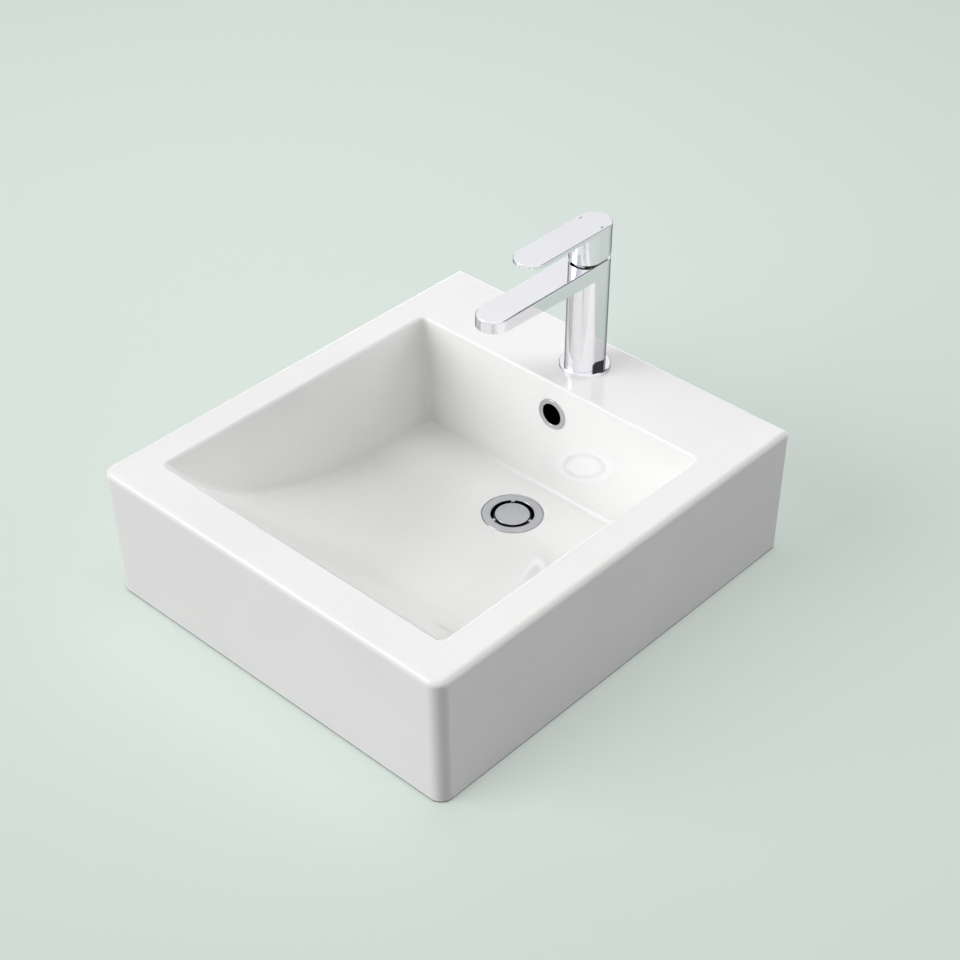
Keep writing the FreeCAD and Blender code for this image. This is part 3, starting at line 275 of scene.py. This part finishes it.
FINISHES = {
    "glaze": glaze(),
    # the waste metal carries painted shade in the waste's throat
    "waste_metal": plated("satin_metal", (0.45, 0.46, 0.48, 1.0), (0.50, 0.51, 0.53, 1.0), 0.16, 0.24,
                          THROAT),
    "chrome": chrome(),
    "rubber": moulded("black_rubber", linear(34, 34, 34), linear(46, 46, 46), 0.65),
    "brass": machined("turned_brass", (0.60, 0.43, 0.20, 1.0), (0.72, 0.53, 0.26, 1.0)),
    "steel": machined("turned_steel", (0.48, 0.48, 0.49, 1.0), (0.60, 0.60, 0.61, 1.0)),
    "plastic": moulded("white_plastic", linear(214, 214, 209), linear(226, 226, 222), 0.45),
    "disc": moulded("disc_ceramic", linear(228, 226, 220), linear(238, 236, 230), 0.25),
    "hot": moulded("red_mark", linear(190, 42, 44), linear(206, 52, 52), 0.30),
    "cold": moulded("blue_mark", linear(48, 80, 172), linear(58, 92, 190), 0.30),
}
# the ring metal carries painted shade in the sleeve behind the ring
RING_METAL = plated("ring_metal", (0.55, 0.56, 0.58, 1.0), (0.63, 0.64, 0.66, 1.0), 0.14, 0.22, SLEEVE)

slot_of = {s["node"]: s["material_slot"] for s in frame["record"]["subparts"]}
for name, node in nodes.items():
    node.data.materials.clear()
    node.data.materials.append(RING_METAL if name == "overflow_ring" else FINISHES[slot_of[name]])


def spring():
    """The latch's spring: a copy of its solid with a mesh of its own, riding with the basin in place of the
    solid.
    """
    item = bpy.data.objects.new("spring", nodes["click_spring"].data.copy())
    item.matrix_world = nodes["click_spring"].matrix_world
    bpy.context.scene.collection.objects.link(item)
    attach(item, "basin")
    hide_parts("click_spring")
    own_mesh(item)


class Backdrop(Nodes):
    """Nodes of a stage surface or of the surroundings, which show mirrors and the camera a set tone."""

    def __init__(self, tree):
        tree.nodes.clear()
        super().__init__(tree)
        self.rays = self.add("ShaderNodeLightPath").outputs

    def either(self, factor, first, second):
        """One shader turning into another."""
        return self.add("ShaderNodeMixShader", {0: factor, 1: first, 2: second}).outputs[0]

    def towards(self, direction):
        """How far a direction of the surroundings points the given way, from -1 to 1."""
        values = {0: self.coords["Generated"], 1: Vector(direction).normalized()}
        return self.add("ShaderNodeVectorMath", values, operation="DOT_PRODUCT").outputs["Value"]


# The floor: its lightest place and how far that reaches, its tones there and far off, and the tone that
# it throws back at the object. It fades into the haze between two distances. SHADOW_KEPT is the share of
# the shadow that shows.
# FLOOR_GLOW is the centre of a pool of light painted into the floor's tone.
FLOOR_GLOW = (-0.55, 0.20, 0.0)
GLOW_REACH = 2.2
FLOOR_TONES = (linear(232, 243, 237), linear(208, 219, 213))
FLOOR_BOUNCE = (0.31, 0.31, 0.31, 1.0)
FLOOR_REACH = 12.0
FLOOR_HOLE = 0.05
FADE = (2.6, 5.0)
HAZE = linear(207, 217, 211)
SHADOW_KEPT = 0.60


def floor():
    """A wide floor that fades into the distance, with a cut-out under the basin for the waste tail."""
    mesh = bpy.data.meshes.new("floor")
    form = bmesh.new()
    steps = [-FLOOR_REACH, -FLOOR_HOLE, FLOOR_HOLE, FLOOR_REACH]
    grid = [[form.verts.new((x, y, 0)) for x in (drain.x + s for s in steps)]
            for y in (drain.y + s for s in steps)]
    for row in range(3):
        for column in range(3):
            if row == 1 and column == 1:
                continue
            form.faces.new((grid[row][column], grid[row][column + 1],
                            grid[row + 1][column + 1], grid[row + 1][column]))
    form.to_mesh(mesh)
    form.free()
    item = bpy.data.objects.new("floor", mesh)
    bpy.context.scene.collection.objects.link(item)
    material = bpy.data.materials.new("floor_paint")
    material.use_nodes = True
    paint = Backdrop(material.node_tree)
    from_glow = paint.add("ShaderNodeVectorMath", {0: paint.coords["Object"], 1: FLOOR_GLOW},
                          operation="DISTANCE").outputs["Value"]
    tone = paint.blend(paint.ramp(from_glow, 0.0, GLOW_REACH, 0.0, 1.0), *FLOOR_TONES)
    lit = paint.add("ShaderNodeBsdfDiffuse", {"Color": tone}).outputs[0]
    even = paint.add("ShaderNodeEmission", {"Color": tone}).outputs[0]
    haze = paint.add("ShaderNodeEmission", {"Color": HAZE}).outputs[0]
    shown = paint.either(paint.ramp(from_glow, *FADE, 0.0, 1.0), paint.either(SHADOW_KEPT, even, lit), haze)
    bounce = paint.add("ShaderNodeBsdfDiffuse", {"Color": FLOOR_BOUNCE}).outputs[0]
    seen = paint.maths("MAXIMUM", paint.rays["Is Camera Ray"], paint.rays["Is Glossy Ray"])
    paint.add("ShaderNodeOutputMaterial", {"Surface": paint.either(seen, bounce, shown)})
    mesh.materials.append(material)
    return item


def direction(azimuth, elevation):
    """The way to a place in the studio, in degrees: azimuth from the front to the left, and elevation."""
    turn = math.radians(azimuth)
    rise = math.radians(elevation)
    return Vector((-math.sin(turn) * math.cos(rise), -math.cos(turn) * math.cos(rise), math.sin(rise)))


# Lamps: azimuth, elevation and spread in degrees, and strength. EVEN_LIGHT comes from all round.
LAMPS = {
    "front_lamp": (32, 25, 50, 2.15),
    "back_lamp": (-157, 27, 50, 1.45),
    "top_lamp": (0, 88, 50, 0.87),
}
SPARES_FLOOR = "back_lamp"
EVEN_LIGHT = 0.215


def lamps(ground):
    """Wide distant lamps, hidden from mirrors, which show the studio's fields. One leaves out the floor."""
    for name, (azimuth, elevation, spread, strength) in LAMPS.items():
        data = bpy.data.lights.new(name, "SUN")
        data.energy = strength
        data.angle = math.radians(spread)
        item = bpy.data.objects.new(name, data)
        item.rotation_mode = "QUATERNION"
        item.rotation_quaternion = direction(azimuth, elevation).to_track_quat("Z", "Y")
        item.visible_glossy = False
        bpy.context.scene.collection.objects.link(item)
        if name == SPARES_FLOOR:
            group = bpy.data.collections.new("left_out")
            group.objects.link(ground)
            item.light_linking.receiver_collection = group
            group.collection_objects[0].light_linking.link_state = "EXCLUDE"


# Fields of the studio that glossy surfaces mirror: azimuth, elevation and half width in degrees, and the
# strength that each adds. The last is a dark corner.
FIELDS = [
    (41, 35, 18, 2.4),
    (137, 5, 20, 1.4),
    (-146, 42, 27, -0.9),
]
# Share of a field's half width over which it is at full strength.
FIELD_EDGE = 0.5
# The studio round the fields: its tone, and how its strength grows between two heights.
STUDIO_TONE = (0.98, 0.98, 1.0, 1.0)
STUDIO_RISE = (0.05, 0.40)
STUDIO_STRENGTH = (0.60, 0.95)


def sky():
    """Even light on the object, a studio of fields that mirrors see, and a plain distance."""
    world = bpy.data.worlds.new("studio")
    bpy.context.scene.world = world
    world.use_nodes = True
    air = Backdrop(world.node_tree)
    high = air.add("ShaderNodeSeparateXYZ", {0: air.coords["Generated"]}).outputs["Z"]
    studio = air.ramp(high, *STUDIO_RISE, *STUDIO_STRENGTH)
    for azimuth, elevation, width, strength in FIELDS:
        rim = math.cos(math.radians(width))
        core = math.cos(math.radians(width * FIELD_EDGE))
        near = air.towards(direction(azimuth, elevation))
        studio = air.maths("ADD", studio, air.ramp(near, rim, core, 0.0, strength))
    studio = air.maths("MAXIMUM", studio, 0.0)
    mirrored = air.add("ShaderNodeBackground", {"Color": STUDIO_TONE, "Strength": studio}).outputs[0]
    even = air.add("ShaderNodeBackground", {"Color": (1, 1, 1, 1), "Strength": EVEN_LIGHT}).outputs[0]
    plain = air.add("ShaderNodeBackground", {"Color": HAZE}).outputs[0]
    around = air.either(air.rays["Is Glossy Ray"], even, mirrored)
    air.add("ShaderNodeOutputWorld", {"Surface": air.either(air.rays["Is Camera Ray"], around, plain)})


def camera():
    """The photograph's camera."""
    data = bpy.data.cameras.new("camera")
    data.lens = CAMERA_LENS
    data.sensor_width = CAMERA_SENSOR
    data.clip_start = CAMERA_NEAREST
    data.clip_end = CAMERA_FURTHEST
    item = bpy.data.objects.new("camera", data)
    across = Vector((math.cos(CAMERA_AZIMUTH), math.sin(CAMERA_AZIMUTH), 0))
    level = math.cos(CAMERA_ELEVATION)
    back = Vector((math.sin(CAMERA_AZIMUTH) * level, -math.cos(CAMERA_AZIMUTH) * level,
                   math.sin(CAMERA_ELEVATION)))
    up = back.cross(across)
    right = across * math.cos(CAMERA_ROLL) + up * math.sin(CAMERA_ROLL)
    above = up * math.cos(CAMERA_ROLL) - across * math.sin(CAMERA_ROLL)
    turn = Matrix((right, above, back)).transposed().to_4x4()
    item.matrix_world = Matrix.Translation(CAMERA_PLACE) @ turn
    bpy.context.scene.collection.objects.link(item)
    bpy.context.scene.camera = item


spring()
lamps(floor())
sky()
camera()
bpy.context.scene.view_settings.view_transform = "Standard"
